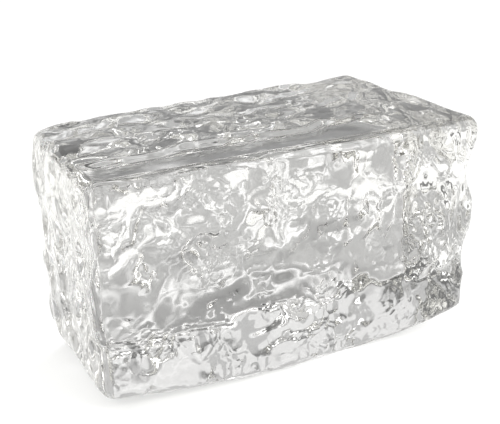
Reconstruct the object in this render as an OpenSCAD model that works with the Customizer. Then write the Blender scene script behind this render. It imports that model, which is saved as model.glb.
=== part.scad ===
// Solid cast glass brick with hollowed, rock-like faces and softened edges.
// The origin is the middle of the bed face, +X runs along the brick,
// +Y from its front to its back and +Z up. All lengths are millimetres.

/* [Brick] */
// Length of the brick, end to end
brick_length = 190; // [130:1:260]
// Depth of the brick, front to back
brick_depth = 100; // [70:1:150]
// Height of the brick, bed to top
brick_height = 100; // [70:1:150]

/* [Edges] */
// Radius of the fire-polished edges
edge_radius = 6; // [3:0.5:10]
// Chords in each half of a rounded edge
edge_steps = 3; // [2:1:3]

/* [Bed] */
// Glass ground off the underside to make the bed flat
bed_ground = 1.2; // [0.6:0.1:3]
// Rise of the underside from the middle to each end
end_rise = 5; // [0:0.5:8]
// Forward swell of the front face at the middle of its foot
foot_swell = 6; // [0:0.5:8]

/* [Hollows] */
// Distance between neighbouring hollows
hollow_pitch = 21; // [16:1:45]
// Share of the pitch that a hollow strays from its row
hollow_stray = 0.4; // [0:0.05:0.45]
// Share of their depth by which the shallowest hollows fall short
hollow_spread = 0.5; // [0:0.05:0.8]
// Depth of the hollows in the front face
front_hollow = 1.8; // [0:0.1:6]
// Depth of the hollows in the back face
back_hollow = 4.4; // [0:0.1:6]
// Depth of the hollows in the left end
left_hollow = 2.4; // [0:0.1:6]
// Depth of the hollows in the right end
right_hollow = 3.6; // [0:0.1:6]
// Depth of the hollows in the top, behind the smooth strip along its front
top_hollow = 1.6; // [0:0.1:6]
// Width of that strip
top_strip = 26; // [0:1:60]
// Which scatter of hollows the brick has
hollow_scatter = 7; // [1:1:99]

/* [Surface] */
// Squares of the surface grid along the brick, between its edges
squares_along = 38; // [20:1:40]
// Squares of the surface grid across the brick and up it, between its edges
squares_across = 19; // [12:1:20]

/* [Hidden] */

glass_colour = [0.84, 0.86, 0.85, 0.6];

// The brick as it left the mould, before its bed was ground
cast = [brick_length, brick_depth, brick_height + bed_ground];
half = cast / 2;
core = [for (h = half) h - edge_radius];

// Distance from a hollow's middle to the ridge round it
ridge_share = 0.62;
ridge_reach = ridge_share * hollow_pitch;
// Place of a row's hollows in their columns, set back in every other row
row_start = 0.25;
row_setback = 0.5;
// Level of the nominal face, from a hollow's floor at 0 to its ridge at 1
face_level = 0.5;

// How far the hand-made mould put each corner out of square
// [[[front bed, front top], [back bed, back top]] at the left end, then the same at the right end]
corner_shift = [
    [[[-1.5, 1.5, 0], [-1.5, 0.5, -0.5]], [[4.5, -3.5, 0], [5, -0.5, 3]]],
    [[[-3, 1, 0], [0.5, -2.5, -1]], [[0, 0, 0], [-8.5, 2.5, 4.5]]],
];

// Pieces chipped out of the edges: [place as a share of each half size], reach, depth
chips = [
    [[1, -1, 0.45], 24, 4],
    [[1, -1, -0.6], 28, 4],
    [[-1, 1, 0.1], 20, 2],
    [[-1, 1, 1], 22, 3],
];

// Points along one side of the cast brick, close together round its two edges
function inset(step) = edge_radius * (1 - tan(45 * (1 - step / edge_steps)));
function stations(side, squares) =
    let (flat = side - 2 * edge_radius)
    concat(
        [for (i = [0 : edge_steps]) inset(i) - side / 2],
        [for (i = [1 : squares - 1]) flat * (i / squares - 0.5)],
        [for (i = [edge_steps : -1 : 0]) side / 2 - inset(i)]);
squares = [squares_along, squares_across, squares_across];
grid = [for (k = [0 : 2]) stations(cast[k], squares[k])];

// A point of the sharp box, drawn in to the rounded one, and the way its surface faces there
function within(q) = [for (k = [0 : 2]) max(-core[k], min(core[k], q[k]))];
function outward(q) = let (v = q - within(q)) v / norm(v);
function rounded(q) = within(q) + edge_radius * outward(q);

// The hollows of one face as [middle, level of its floor], in staggered rows from which each one strays
function face_hollows(axis, side) =
    let (
        across = (axis + 1) % 3,
        along = (axis + 2) % 3,
        rows = max(1, round(cast[across] / hollow_pitch)),
        columns = max(1, round(cast[along] / hollow_pitch)),
        count = rows * columns,
        seed = hollow_scatter + 10 * axis + side,
        stray = rands(-hollow_stray, hollow_stray, 2 * count, seed),
        floors = rands(0, hollow_spread, count, seed)
    )
    [for (r = [0 : rows - 1], c = [0 : columns - 1])
        let (
            n = r * columns + c,
            start = row_start + r % 2 * row_setback,
            s = cast[across] * ((r + 0.5 + stray[2 * n]) / rows - 0.5),
            t = cast[along] * ((c + start + stray[2 * n + 1]) / columns - 0.5)
        )
        [[for (k = [0 : 2]) k == axis ? side * half[k] : k == across ? s : t], floors[n]]];
hollows = [for (axis = [0 : 2], side = [-1, 1]) each face_hollows(axis, side)];

// Height of the hollowed surface over its nominal place
function square(v) = v * v;
function ridge(p) = min(1, min([for (h = hollows) square(p - h[0]) / square(ridge_reach) + h[1]]));
// Depth of the hollows round a point, from the faces it lies on; the bed has none, and on the top they start
// behind the strip
function behind_strip(p) = max(0, min(1, (p[1] + half[1] - top_strip) / ridge_reach));
function hollow_depth(p, n) =
    let (
        low = [left_hollow, front_hollow, 0],
        high = [right_hollow, back_hollow, top_hollow * behind_strip(p)]
    )
    [for (k = [0 : 2]) square(n[k]) * (n[k] < 0 ? low[k] : high[k])] * [1, 1, 1];
function chip_place(c) = [for (k = [0 : 2]) c[0][k] * half[k]];
function chip_loss(p, c) = c[2] * square(max(0, 1 - square(p - chip_place(c)) / square(c[1])));
function chipped(p) = [for (c = chips) chip_loss(p, c)] * [for (c = chips) 1];
function relief(p, n) = hollow_depth(p, n) * (ridge(p) - face_level) - chipped(p);

// The mould's own unevenness: corners out of square, a swollen foot and an underside that rises to its ends
function mix(a, b, t) = a * (1 - t) + b * t;
function out_of_square(u) =
    let (
        rows = [for (end = corner_shift) [for (edge = end) mix(edge[0], edge[1], u[2])]],
        ends = [for (row = rows) mix(row[0], row[1], u[1])]
    )
    mix(ends[0], ends[1], u[0]);
function uneven(u) =
    let (from_middle = square(2 * u[0] - 1), low = 1 - u[2], front = 1 - u[1])
    out_of_square(u) + [0, -foot_swell * (1 - from_middle) * low * front, end_rise * from_middle * low];

function cast_point(q) =
    let (n = outward(q), p = rounded(q), u = [for (k = [0 : 2]) p[k] / cast[k] + 0.5])
    p + n * relief(p, n) + uneven(u) + [0, 0, half[2] - bed_ground];

// One side of the brick as a grid of points, with two triangles to each square of the grid
function side_points(axis, side) =
    let (across = (axis + 1) % 3, along = (axis + 2) % 3)
    [for (s = grid[across], t = grid[along])
        cast_point([for (k = [0 : 2]) k == axis ? side * half[k] : k == across ? s : t])];
function side_faces(axis, side, first) =
    let (rows = len(grid[(axis + 1) % 3]), columns = len(grid[(axis + 2) % 3]))
    [for (r = [0 : rows - 2], c = [0 : columns - 2])
        let (
            a = first + r * columns + c,
            b = a + columns,
            pair = [[a, b + 1, b], [a, a + 1, b + 1]]
        )
        for (t = pair) side > 0 ? t : [t[0], t[2], t[1]]];

sides = [for (axis = [0 : 2], side = [-1, 1]) [axis, side]];
points_by_side = [for (s = sides) side_points(s[0], s[1])];
function points_before(i) = i == 0 ? 0 : points_before(i - 1) + len(points_by_side[i - 1]);

module cast_brick() {
    polyhedron(
        points = [for (points = points_by_side) each points],
        faces = [for (i = [0 : len(sides) - 1]) each side_faces(sides[i][0], sides[i][1], points_before(i))]);
}

// What is ground away under the bed plane
module grinding() {
    room = max(cast);
    translate([-room, -room, -room]) cube([2 * room, 2 * room, room]);
}

module glass_block() {
    color(glass_colour) difference() {
        cast_brick();
        grinding();
    }
}

glass_block();
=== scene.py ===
import math
import bpy
from mathutils import Matrix, Vector, noise


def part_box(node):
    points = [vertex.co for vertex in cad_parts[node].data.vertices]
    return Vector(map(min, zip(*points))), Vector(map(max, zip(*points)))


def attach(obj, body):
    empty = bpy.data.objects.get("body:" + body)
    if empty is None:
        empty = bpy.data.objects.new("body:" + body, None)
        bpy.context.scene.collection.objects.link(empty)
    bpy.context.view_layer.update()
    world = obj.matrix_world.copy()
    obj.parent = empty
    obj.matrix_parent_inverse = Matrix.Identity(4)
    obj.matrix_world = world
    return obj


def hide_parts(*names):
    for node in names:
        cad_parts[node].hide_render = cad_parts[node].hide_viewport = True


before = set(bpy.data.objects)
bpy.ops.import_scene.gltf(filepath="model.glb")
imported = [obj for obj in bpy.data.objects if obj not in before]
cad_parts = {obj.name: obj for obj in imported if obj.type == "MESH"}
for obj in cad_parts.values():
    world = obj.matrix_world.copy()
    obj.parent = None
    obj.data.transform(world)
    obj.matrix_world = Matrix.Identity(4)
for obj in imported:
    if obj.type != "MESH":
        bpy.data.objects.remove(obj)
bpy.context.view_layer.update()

# The glass block: one piece of clear glass, cast in a mould and fire-polished. Its faces are covered in
# shallow hollows that meet at ridges, its edges are rounded and smooth, and the middle of its underside
# is ground flat.
mm = 0.001
grid_cuts = 90
block_low, block_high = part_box("glass_block")
block_middle = (block_low + block_high) / 2
block_size = block_high - block_low
bpy.ops.object.select_all(action="DESELECT")
bpy.ops.mesh.primitive_cube_add(size=1, location=block_middle, scale=block_size)
block = bpy.context.object
block.name = "cast_glass_block"
bpy.ops.object.transform_apply(location=True, rotation=True, scale=True)

# The long sides are cut in two first, so that the grid's squares come out nearly square
bpy.ops.object.mode_set(mode="EDIT")
bpy.ops.mesh.select_all(action="SELECT")
bpy.ops.mesh.bisect(plane_co=block_middle, plane_no=(1, 0, 0))
bpy.ops.mesh.select_all(action="SELECT")
bpy.ops.mesh.subdivide(number_cuts=grid_cuts)
bpy.ops.object.mode_set(mode="OBJECT")

# Each face, by the axis that it looks along and the way it looks
front = (1, -1)
back = (1, 1)
left_end = (0, -1)
right_end = (0, 1)
top = (2, 1)
bed = (2, -1)

# How much of the fine relief and of the flakes each face has. Both fade out in the band of smooth
# glass along the edges.
relief_share = {front: 0.34, back: 1, left_end: 0.1, right_end: 0.3, top: 0.15, bed: 0}
flake_share = {front: 0.45, back: 0.12, left_end: 0.05, right_end: 0, top: 0, bed: 0}
edge_band = 4 * mm
top_relief_back = (-20 * mm, -8 * mm)
back_relief_up = (20 * mm, 50 * mm)
back_foot_share = 0.4
corner_flakes = 0.55
corner_flakes_left = (-58 * mm, -68 * mm)
corner_flakes_down = (32 * mm, 24 * mm)

# The smooth strip along the front of the top is dished down to a ragged rim behind it, and the dish runs
# out towards both ends
dish_depth = 2.5 * mm
dish_back = (-47 * mm, -26 * mm)
dish_from_left = (-92 * mm, -84 * mm)
dish_from_right = (62 * mm, 22 * mm)
rim_line = -24 * mm
rim_width = 3 * mm
rim_stray = 5 * mm
rim_pitch = 14 * mm
rim_scatter = (0.3, 0.7)


def rise(value, start, end):
    """How far a value has come on its way from start to end, from 0 to 1."""
    return min(1, max(0, (value - start) / (end - start)))


relief_group = block.vertex_groups.new(name="relief")
flake_group = block.vertex_groups.new(name="flakes")
strip_group = block.vertex_groups.new(name="strip")
for vertex in block.data.vertices:
    x, y, z = vertex.co
    insets = [min(vertex.co[k] - block_low[k], block_high[k] - vertex.co[k]) for k in range(3)]
    axis = insets.index(min(insets))
    face = (axis, 1 if vertex.co[axis] > block_middle[axis] else -1)
    share = rise(min(insets[k] for k in range(3) if k != axis), 0, edge_band)
    share = share * share * (3 - 2 * share)
    flaked = flake_share[face]
    if face == top:
        share *= rise(y, *top_relief_back)
        rim = rim_line + rim_stray * noise.noise(Vector((x / rim_pitch, *rim_scatter)))
        dish = min(rise(y, *dish_back), rise(y, rim + rim_width, rim))
        dish *= rise(x, *dish_from_left) * rise(x, *dish_from_right)
        strip_group.add([vertex.index], dish, "REPLACE")
    if face == back:
        share *= back_foot_share + (1 - back_foot_share) * rise(z, *back_relief_up)
    if face == front:
        flaked += corner_flakes * rise(x, *corner_flakes_left) * rise(z, *corner_flakes_down)
    relief_group.add([vertex.index], relief_share[face] * share, "REPLACE")
    flake_group.add([vertex.index], flaked * share, "REPLACE")

# The grid is drawn on to the solid, and the solid's facets are rounded off as fire polish does
wrap = block.modifiers.new("mould", "SHRINKWRAP")
wrap.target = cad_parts["glass_block"]
wrap.wrap_method = "NEAREST_SURFACEPOINT"
bpy.ops.object.modifier_apply(modifier=wrap.name)
polish = block.modifiers.new("fire_polish", "SMOOTH")
polish.factor = 0.5
polish.iterations = 14
bpy.ops.object.modifier_apply(modifier=polish.name)


def node(tree, kind, settings=None, **links):
    """One node of a tree, with its settings by name and its inputs as values or other nodes' outputs."""
    made = tree.nodes.new(kind)
    for key, value in (settings or {}).items():
        setattr(made, key, value)
    for key, value in links.items():
        socket = made.inputs[int(key[1:]) if key[0] == "_" else key.replace("_", " ")]
        if isinstance(value, bpy.types.NodeSocket):
            tree.links.new(value, socket)
        else:
            socket.default_value = value
    return made


# The fine relief is two layers of small bowls that meet at ridges, strong in some patches and faint in
# others. It never leaves the solid's own box.
bowl_layers = ((13 * mm, 3.0 * mm, 40 * mm), (8 * mm, 1.8 * mm, 30 * mm))
bowl_stray = 10 * mm
bowl_stray_pitch = 26 * mm
relief_drop = 1.1 * mm
relief = bpy.data.node_groups.new("cast_relief", "GeometryNodeTree")
relief.interface.new_socket("Geometry", in_out="INPUT", socket_type="NodeSocketGeometry")
relief.interface.new_socket("Geometry", in_out="OUTPUT", socket_type="NodeSocketGeometry")
cast_in = node(relief, "NodeGroupInput")
place = node(relief, "GeometryNodeInputPosition").outputs[0]
outward = node(relief, "GeometryNodeInputNormal").outputs[0]
depth = node(relief, "GeometryNodeInputNamedAttribute", {"data_type": "FLOAT"}, Name="relief")
dishing = node(relief, "GeometryNodeInputNamedAttribute", {"data_type": "FLOAT"}, Name="strip")
flaking = node(relief, "GeometryNodeInputNamedAttribute", {"data_type": "FLOAT"}, Name="flakes")
stray = node(relief, "ShaderNodeTexNoise", Vector=place, Scale=1 / bowl_stray_pitch, Detail=2.0)
strayed = node(relief, "ShaderNodeVectorMath", {"operation": "MULTIPLY_ADD"}, _0=stray.outputs["Color"],
               _1=(bowl_stray, bowl_stray, bowl_stray), _2=place)
height = -relief_drop
for bowl_pitch, bowl_depth, patch_size in bowl_layers:
    cells = node(relief, "ShaderNodeTexVoronoi", {"feature": "SMOOTH_F1"}, Vector=strayed.outputs[0],
                 Scale=1 / bowl_pitch, Smoothness=0.08)
    bowl = node(relief, "ShaderNodeMath", {"operation": "POWER"}, _0=cells.outputs["Distance"], _1=2.0)
    patch = node(relief, "ShaderNodeTexNoise", Vector=place, Scale=1 / patch_size, Detail=1.0)
    strong = node(relief, "ShaderNodeMapRange", {"interpolation_type": "SMOOTHSTEP"},
                  Value=patch.outputs["Fac"], From_Min=0.35, From_Max=0.65, To_Min=0.15)
    patched = node(relief, "ShaderNodeMath", {"operation": "MULTIPLY"}, _0=bowl.outputs[0],
                   _1=strong.outputs["Result"])
    layer = node(relief, "ShaderNodeMath", {"operation": "MULTIPLY_ADD"}, _0=patched.outputs[0],
                 _1=bowl_depth, _2=height)
    height = layer.outputs[0]
shared = node(relief, "ShaderNodeMath", {"operation": "MULTIPLY"}, _0=height, _1=depth.outputs["Attribute"])
dished = node(relief, "ShaderNodeMath", {"operation": "MULTIPLY_ADD"}, _0=dishing.outputs["Attribute"],
              _1=-dish_depth, _2=shared.outputs[0])
offset = node(relief, "ShaderNodeVectorMath", {"operation": "SCALE"}, _0=outward, Scale=dished.outputs[0])
raised = node(relief, "ShaderNodeVectorMath", {"operation": "ADD"}, _0=place, _1=offset.outputs[0])
lowered = node(relief, "ShaderNodeVectorMath", {"operation": "MINIMUM"}, _0=raised.outputs[0], _1=block_high)
inside = node(relief, "ShaderNodeVectorMath", {"operation": "MAXIMUM"}, _0=lowered.outputs[0], _1=block_low)
moved = node(relief, "GeometryNodeSetPosition", Geometry=cast_in.outputs[0], Position=inside.outputs[0])
stored = node(relief, "GeometryNodeStoreNamedAttribute", {"data_type": "FLOAT", "domain": "POINT"},
              Geometry=moved.outputs[0], Name="flake_share", Value=flaking.outputs["Attribute"])
node(relief, "NodeGroupOutput", Geometry=stored.outputs[0])
pressed = block.modifiers.new("cast_relief", "NODES")
pressed.node_group = relief
bpy.ops.object.modifier_apply(modifier=pressed.name)
settle = block.modifiers.new("settle", "SMOOTH")
settle.factor = 0.5
settle.iterations = 1
bpy.ops.object.modifier_apply(modifier=settle.name)
bpy.ops.object.shade_smooth()


def linear(hex_colour):
    """An sRGB hex colour as linear red, green, blue and alpha."""
    parts = [int(hex_colour[i:i + 2], 16) / 255 for i in (1, 3, 5)]
    return [c / 12.92 if c <= 0.04045 else ((c + 0.055) / 1.055) ** 2.4 for c in parts] + [1]


# Clear cast glass, fire-polished: it has no haze, so the eye sees only what it bends and mirrors, with a
# faint warm grey where the light goes a long way through it. Small shell-shaped flakes, drawn as bump,
# lie in patches, mostly on the front and most of all in its lower left corner.
flake_pitch = 5.5 * mm
flake_depth = 1.3 * mm
flake_stray = 4 * mm
flake_stray_pitch = 11 * mm
flake_patch = 18 * mm
glass = bpy.data.materials.new("clear_cast_glass")
glass.use_nodes = True
tree = glass.node_tree
tree.nodes.clear()
place = node(tree, "ShaderNodeTexCoord").outputs["Object"]
flaked = node(tree, "ShaderNodeAttribute", {"attribute_name": "flake_share"})
stray = node(tree, "ShaderNodeTexNoise", Vector=place, Scale=1 / flake_stray_pitch, Detail=2.0)
strayed = node(tree, "ShaderNodeVectorMath", {"operation": "MULTIPLY_ADD"}, _0=stray.outputs["Color"],
               _1=(flake_stray, flake_stray, flake_stray), _2=place)
flakes = node(tree, "ShaderNodeTexVoronoi", {"feature": "F1"}, Vector=strayed.outputs[0],
              Scale=1 / flake_pitch)
shell = node(tree, "ShaderNodeMath", {"operation": "POWER"}, _0=flakes.outputs["Distance"], _1=2.0)
patch = node(tree, "ShaderNodeTexNoise", Vector=place, Scale=1 / flake_patch, Detail=1.0)
strong = node(tree, "ShaderNodeMapRange", {"interpolation_type": "SMOOTHSTEP"},
              Value=patch.outputs["Fac"], From_Min=0.46, From_Max=0.56, To_Min=0.04)
patched = node(tree, "ShaderNodeMath", {"operation": "MULTIPLY"}, _0=shell.outputs[0],
               _1=strong.outputs["Result"])
shared = node(tree, "ShaderNodeMath", {"operation": "MULTIPLY"}, _0=patched.outputs[0],
              _1=flaked.outputs["Fac"])
chipped = node(tree, "ShaderNodeBump", Strength=1.0, Distance=flake_depth, Height=shared.outputs[0])
surface = node(tree, "ShaderNodeBsdfPrincipled", Base_Color=linear("#FDFDFD"), Roughness=0.0, IOR=1.52,
               Transmission_Weight=1.0, Normal=chipped.outputs[0])
body = node(tree, "ShaderNodeVolumeAbsorption", Color=linear("#DEDCD4"), Density=2.0)
node(tree, "ShaderNodeOutputMaterial", Surface=surface.outputs["BSDF"], Volume=body.outputs["Volume"])
block.data.materials.append(glass)
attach(block, "root")
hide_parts("glass_block")

# The floor: a sheet of pale matt card, much wider than the view, that keeps the block's shadow. It has a
# little light of its own wherever it is seen, straight, mirrored or through the glass, and that and the
# daylight bring it to white.
floor_side = 20
floor_gap = 0.2 * mm
bpy.ops.mesh.primitive_plane_add(size=floor_side, location=(0, 0, -floor_gap))
floor = bpy.context.object
floor.name = "floor"

# Matt card, with a web of painted light in its glow: painted caustics where a block of lumpy glass would
# gather light behind and under itself, as the render traces no such light. Under the block the glow is
# lower, as painted shade.
web_pitch = 66 * mm
web_stir = 50 * mm
web_stir_pitch = 45 * mm
web_patch = 70 * mm
painted_caustic_glow = 0.7
web_middle = (50 * mm, 110 * mm, 0)
web_reach = (210 * mm, 190 * mm, 1)
foot_reach = (97 * mm, 55 * mm, 1)
# The card's glow away from the block, and the lower glow under it, which is painted shade.
open_lift = 0.23
painted_shade_lift = 0.11
card = bpy.data.materials.new("pale_card")
card.use_nodes = True
tree = card.node_tree
tree.nodes.clear()
place = node(tree, "ShaderNodeTexCoord").outputs["Object"]
stir = node(tree, "ShaderNodeTexNoise", Vector=place, Scale=1 / web_stir_pitch, Detail=1.0)
stirred = node(tree, "ShaderNodeVectorMath", {"operation": "MULTIPLY_ADD"}, _0=stir.outputs["Color"],
               _1=(web_stir, web_stir, 0), _2=place)
web = node(tree, "ShaderNodeTexVoronoi", {"feature": "DISTANCE_TO_EDGE"}, Vector=stirred.outputs[0],
           Scale=1 / web_pitch)
# The web's lines, painted caustic light.
line = node(tree, "ShaderNodeMapRange", Value=web.outputs["Distance"], From_Min=0.22, From_Max=0.02)
soft_line = node(tree, "ShaderNodeMath", {"operation": "POWER"}, _0=line.outputs["Result"], _1=2.2)
patch = node(tree, "ShaderNodeTexNoise", Vector=place, Scale=1 / web_patch, Detail=1.0)
strong = node(tree, "ShaderNodeMapRange", {"interpolation_type": "SMOOTHSTEP"},
              Value=patch.outputs["Fac"], From_Min=0.42, From_Max=0.58, To_Min=0.1)
patched = node(tree, "ShaderNodeMath", {"operation": "MULTIPLY"}, _0=soft_line.outputs[0],
               _1=strong.outputs["Result"])
from_web = node(tree, "ShaderNodeVectorMath", {"operation": "SUBTRACT"}, _0=place, _1=web_middle)
web_share = node(tree, "ShaderNodeVectorMath", {"operation": "DIVIDE"}, _0=from_web.outputs[0], _1=web_reach)
web_way = node(tree, "ShaderNodeVectorMath", {"operation": "LENGTH"}, _0=web_share.outputs[0])
near = node(tree, "ShaderNodeMapRange", {"interpolation_type": "SMOOTHSTEP"},
            Value=web_way.outputs["Value"], From_Min=1.0, From_Max=0.7, To_Max=painted_caustic_glow)
foot_share = node(tree, "ShaderNodeVectorMath", {"operation": "DIVIDE"}, _0=place, _1=foot_reach)
foot_way = node(tree, "ShaderNodeVectorMath", {"operation": "ABSOLUTE"}, _0=foot_share.outputs[0])
foot_parts = node(tree, "ShaderNodeSeparateXYZ", Vector=foot_way.outputs[0])
foot_out = node(tree, "ShaderNodeMath", {"operation": "MAXIMUM"}, _0=foot_parts.outputs["X"],
                _1=foot_parts.outputs["Y"])
# Painted shade: the glow falls to its lower level under the block's foot.
clear = node(tree, "ShaderNodeMapRange", {"interpolation_type": "SMOOTHSTEP"},
             Value=foot_out.outputs[0], From_Min=0.8, From_Max=1.1)
plain_lift = node(tree, "ShaderNodeMapRange", Value=clear.outputs["Result"], To_Min=painted_shade_lift,
                  To_Max=open_lift)
lift = node(tree, "ShaderNodeMath", {"operation": "MULTIPLY_ADD"}, _0=patched.outputs[0],
            _1=near.outputs["Result"], _2=plain_lift.outputs["Result"])
ray = node(tree, "ShaderNodeLightPath")
mirrored = node(tree, "ShaderNodeMath", {"operation": "ADD"}, _0=ray.outputs["Is Camera Ray"],
                _1=ray.outputs["Is Glossy Ray"])
seen = node(tree, "ShaderNodeMath", {"operation": "ADD", "use_clamp": True}, _0=mirrored.outputs[0],
            _1=ray.outputs["Is Transmission Ray"])
seen_lift = node(tree, "ShaderNodeMath", {"operation": "MULTIPLY"}, _0=seen.outputs[0], _1=lift.outputs[0])
white = node(tree, "ShaderNodeEmission", Color=linear("#FFFFFF"), Strength=seen_lift.outputs[0])
matt = node(tree, "ShaderNodeBsdfDiffuse", Color=linear("#E8E8E6"))
both = node(tree, "ShaderNodeAddShader", _0=matt.outputs[0], _1=white.outputs[0])
node(tree, "ShaderNodeOutputMaterial", Surface=both.outputs[0])
floor.data.materials.append(card)

# The light: a pale room, white at the horizon and grey overhead, dimmer on the camera's side and at both
# sides of the view, so that the glass has darker lines to show. A small window stands behind the block,
# and a bright box high on the right, on the camera's side.
room_tones = ((0.12, 0.58), (0.50, 0.54), (0.62, 0.22), (0.88, 0.2))
camera_side_share = 0.4
flag_share = 0.25
view_across = (0.896, -0.444, 0)
window_way = (0.42, 0.78, 0.464)
window_glow = 0.55
key_way = (0.6, -0.55, 0.58)
key_glow = 0.65
scene = bpy.context.scene
world = bpy.data.worlds.new("studio")
scene.world = world
world.use_nodes = True
tree = world.node_tree
tree.nodes.clear()
way = node(tree, "ShaderNodeTexCoord").outputs["Generated"]
parts = node(tree, "ShaderNodeSeparateXYZ", Vector=way)
walls = node(tree, "ShaderNodeValToRGB", Fac=parts.outputs["Z"])
tones = walls.color_ramp
tones.elements[0].position = 0.06
tones.elements[0].color = (1, 1, 1, 1)
tones.elements[1].position = 0.95
tones.elements[1].color = (0.3, 0.3, 0.3, 1)
for level, tone in room_tones:
    tones.elements.new(level).color = (tone, tone, tone, 1)
dimmed = node(tree, "ShaderNodeMapRange", {"interpolation_type": "SMOOTHSTEP"}, Value=parts.outputs["Y"],
              From_Min=-0.6, From_Max=0.1, To_Min=camera_side_share)
to_window = node(tree, "ShaderNodeVectorMath", {"operation": "DOT_PRODUCT"}, _0=way, _1=window_way)
window = node(tree, "ShaderNodeMapRange", {"interpolation_type": "SMOOTHSTEP"},
              Value=to_window.outputs["Value"], From_Min=0.983, From_Max=0.986, To_Max=window_glow)
glow = node(tree, "ShaderNodeMath", {"operation": "ADD"}, _0=dimmed.outputs["Result"],
            _1=window.outputs["Result"])
across = node(tree, "ShaderNodeVectorMath", {"operation": "DOT_PRODUCT"}, _0=way, _1=view_across)
aside = node(tree, "ShaderNodeMath", {"operation": "ABSOLUTE"}, _0=across.outputs["Value"])
flags = node(tree, "ShaderNodeMapRange", {"interpolation_type": "SMOOTHSTEP"}, Value=aside.outputs[0],
             From_Min=0.6, From_Max=0.75, To_Min=1.0, To_Max=flag_share)
flagged = node(tree, "ShaderNodeMath", {"operation": "MULTIPLY"}, _0=glow.outputs[0],
               _1=flags.outputs["Result"])
walls_light = node(tree, "ShaderNodeBackground", Color=walls.outputs["Color"], Strength=flagged.outputs[0])
to_key = node(tree, "ShaderNodeVectorMath", {"operation": "DOT_PRODUCT"}, _0=way, _1=key_way)
key = node(tree, "ShaderNodeMapRange", {"interpolation_type": "SMOOTHSTEP"},
           Value=to_key.outputs["Value"], From_Min=0.86, From_Max=0.88, To_Max=key_glow)
key_light = node(tree, "ShaderNodeBackground", Color=linear("#FFFFFF"), Strength=key.outputs["Result"])
room = node(tree, "ShaderNodeAddShader", _0=walls_light.outputs[0], _1=key_light.outputs[0])
node(tree, "ShaderNodeOutputWorld", Surface=room.outputs[0])

# Low daylight from behind the camera throws the block's shadow back. It meets the card at a flat angle,
# so the card gets less of it than its power says. Two weak soft boxes fill in, one on each side.
day_power = 6.8
day_way = Vector((0.40, 0.88, -0.36))
day = bpy.data.lights.new("day", "SUN")
day.angle = math.radians(7)
day.energy = day_power
day_lamp = bpy.data.objects.new("day", day)
day_lamp.rotation_euler = day_way.to_track_quat("-Z", "Y").to_euler()
day_lamp.visible_glossy = False
day_lamp.visible_transmission = False
scene.collection.objects.link(day_lamp)
box_side = 0.5
box_power = 2
for box_name, box_place in (("left_box", (-1.0, -0.35, 0.9)), ("right_box", (0.6, -0.9, 0.9))):
    lamp = bpy.data.lights.new(box_name, "AREA")
    lamp.shape = "RECTANGLE"
    lamp.size = box_side
    lamp.size_y = box_side
    lamp.energy = box_power
    box = bpy.data.objects.new(box_name, lamp)
    box.location = box_place
    box.rotation_euler = (block_middle - Vector(box_place)).to_track_quat("-Z", "Y").to_euler()
    scene.collection.objects.link(box)

# The camera stands where the photograph was taken from. Light may pass through many faces of the glass
# before it is dropped.
photo_width = 500
focal_length = 1105.36
sensor_width = 36
camera_place = Vector((-221.78, -446.75, 221.93)) * mm
camera_turn = -26.33
camera_tip = 18.32
camera_roll = 2.86
camera_data = bpy.data.cameras.new("camera")
camera_data.sensor_width = sensor_width
camera_data.lens = sensor_width * focal_length / photo_width
camera_data.clip_start = 10 * mm
camera = bpy.data.objects.new("camera", camera_data)
scene.collection.objects.link(camera)
turn = Matrix.Rotation(math.radians(camera_turn), 4, "Z")
tip = Matrix.Rotation(math.radians(90 - camera_tip), 4, "X")
roll = Matrix.Rotation(math.radians(-camera_roll), 4, "Z")
camera.matrix_world = Matrix.Translation(camera_place) @ turn @ tip @ roll
scene.camera = camera
scene.view_settings.view_transform = "Standard"
scene.cycles.max_bounces = 32
scene.cycles.glossy_bounces = 24
scene.cycles.transmission_bounces = 24
scene.cycles.caustics_refractive = False
scene.cycles.caustics_reflective = False
